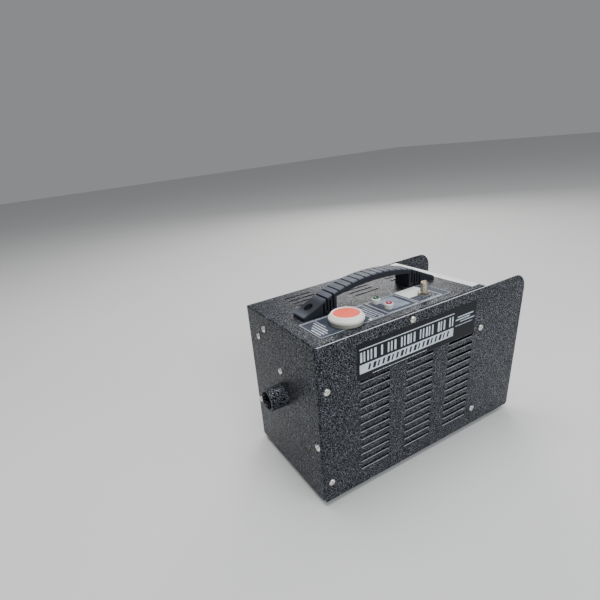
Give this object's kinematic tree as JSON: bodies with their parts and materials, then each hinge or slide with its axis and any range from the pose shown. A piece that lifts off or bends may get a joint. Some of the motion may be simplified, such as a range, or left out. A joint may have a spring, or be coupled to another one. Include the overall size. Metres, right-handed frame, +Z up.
{
  "type": "fog machine",
  "caption": "Portable stage fog machine: slotted sheet-steel case with rear cheeks, round fog outlet, carrying handle, push button, lamps and fluid bottle.",
  "frame": {"origin": "under the middle of the whole machine, at the bottom of the feet", "axes": "+X from the fog outlet towards the rear bay, +Y towards the side away from the controls, +Z up"},
  "size_m": [0.4, 0.184, 0.2775],
  "materials": {
    "hammertone_paint": "black hammertone stoving paint with a fine light speckle",
    "nickel_screws": "bright nickel plate",
    "zinc_steel": "dull zinc plate",
    "foot_rubber": "matt black rubber",
    "handle_plastic": "charcoal moulded plastic, finely grained",
    "overlay_print": "matt printed overlay",
    "white_vinyl": "plain white vinyl",
    "label_print": "black printed plate with white bars",
    "cream_plastic": "cream moulded plastic",
    "cream_plastic_dark": "darker cream moulded plastic",
    "red_plastic": "translucent salmon red plastic",
    "grey_plastic": "grey moulded plastic",
    "black_plastic": "black moulded plastic",
    "spring_steel": "drawn spring wire",
    "red_lens": "magenta red lens",
    "green_lens": "dark green lens",
    "dark_brass": "tarnished brass",
    "brass": "turned brass",
    "cast_aluminium": "cast aluminium",
    "steel_tube": "ground steel",
    "galvanised_steel": "heat-dulled galvanised sheet",
    "glass_fibre": "woven glass-fibre blanket",
    "clear_hose": "clear flexible hose",
    "copper_pipe": "copper pipe",
    "bottle_plastic": "natural translucent polythene",
    "cap_plastic": "red moulded cap",
    "fuse_glass": "glass fuse",
    "board_green": "green solder resist",
    "ceramic": "glazed ceramic"
  },
  "bodies": {
    "case": {"base_tray": "hammertone_paint", "board_components": "black_plastic", "board_pillars": "grey_plastic", "button_barrel": "grey_plastic", "button_base_ring": "cream_plastic_dark", "button_bezel": "cream_plastic", "button_nut": "grey_plastic", "button_spring": "spring_steel", "carry_handle": "handle_plastic", "casing_nuts": "zinc_steel", "casing_screws": "nickel_screws", "circuit_board": "board_green", "connector_pins": "steel_tube", "contact_block": "black_plastic", "control_label": "overlay_print", "dial_body": "nickel_screws", "dial_nut": "nickel_screws", "dial_washer": "zinc_steel", "far_side_label": "label_print", "far_side_panel": "hammertone_paint", "fog_jet": "brass", "foot_screws": "zinc_steel", "front_top_cover": "hammertone_paint", "green_lamp_lens": "green_lens", "handle_screws": "nickel_screws", "heat_shield": "hammertone_paint", "heater_block": "cast_aluminium", "heater_frame": "galvanised_steel", "heating_elements": "steel_tube", "hose_elbow": "brass", "inlet_screws": "nickel_screws", "insulation_blanket": "glass_fibre", "lamp_bezels": "cream_plastic", "lamp_holders": "grey_plastic", "mains_inlet": "black_plastic", "near_side_label": "label_print", "near_side_panel": "hammertone_paint", "nozzle_tube": "hammertone_paint", "pressure_pipe": "copper_pipe", "pump_bracket": "galvanised_steel", "pump_coil": "black_plastic", "pump_core": "brass", "pump_mounts": "foot_rubber", "pump_yoke": "zinc_steel", "rear_panel": "hammertone_paint", "red_lamp_lens": "red_lens", "remote_socket": "black_plastic", "rubber_feet": "foot_rubber", "suction_hose": "clear_hose", "terminal_block": "ceramic", "thermal_cutout": "black_plastic", "white_stickers": "white_vinyl"},
    "fog_button": {"button_cap": "red_plastic"},
    "output_spindle": {"dial_spindle": "dark_brass"},
    "bottle": {"fluid_bottle": "bottle_plastic", "pickup_hose": "clear_hose"},
    "bottle_lid": {"bottle_cap": "cap_plastic"},
    "fuse_holder": {"fuse_drawer": "black_plastic", "mains_fuse": "fuse_glass"},
    "plunger": {"pump_plunger": "steel_tube"}
  },
  "joints": [
    {"name": "fog_button_press", "type": "slide", "parent": "case", "child": "fog_button", "axis": [0, 0, -1], "range_m": [0, 0.0035], "stiffness_N_per_m": 900, "springref_m": -0.002, "deforming": ["button_spring"]},
    {"name": "output_spindle_turn", "type": "hinge", "parent": "case", "child": "output_spindle", "pos_m": [0.029, -0.055, 0.25], "axis": [0, 0, 1], "range_deg": [-150, 150]},
    {"name": "bottle_lift", "type": "slide", "parent": "case", "child": "bottle", "axis": [0, 0, 1], "range_m": [0, 0.24]},
    {"name": "bottle_cap_turn", "type": "hinge", "parent": "bottle", "child": "bottle_lid", "pos_m": [0.153, 0.028, 0.16], "axis": [0, 0, 1], "range_deg": [0, 540]},
    {"name": "fuse_drawer_slide", "type": "slide", "parent": "case", "child": "fuse_holder", "axis": [1, 0, 0], "range_m": [0, 0.018]},
    {"name": "pump_plunger_stroke", "type": "slide", "parent": "case", "child": "plunger", "axis": [0, 0, 1], "range_m": [-0.0025, 0.0025], "stiffness_N_per_m": 1500}
  ]
}
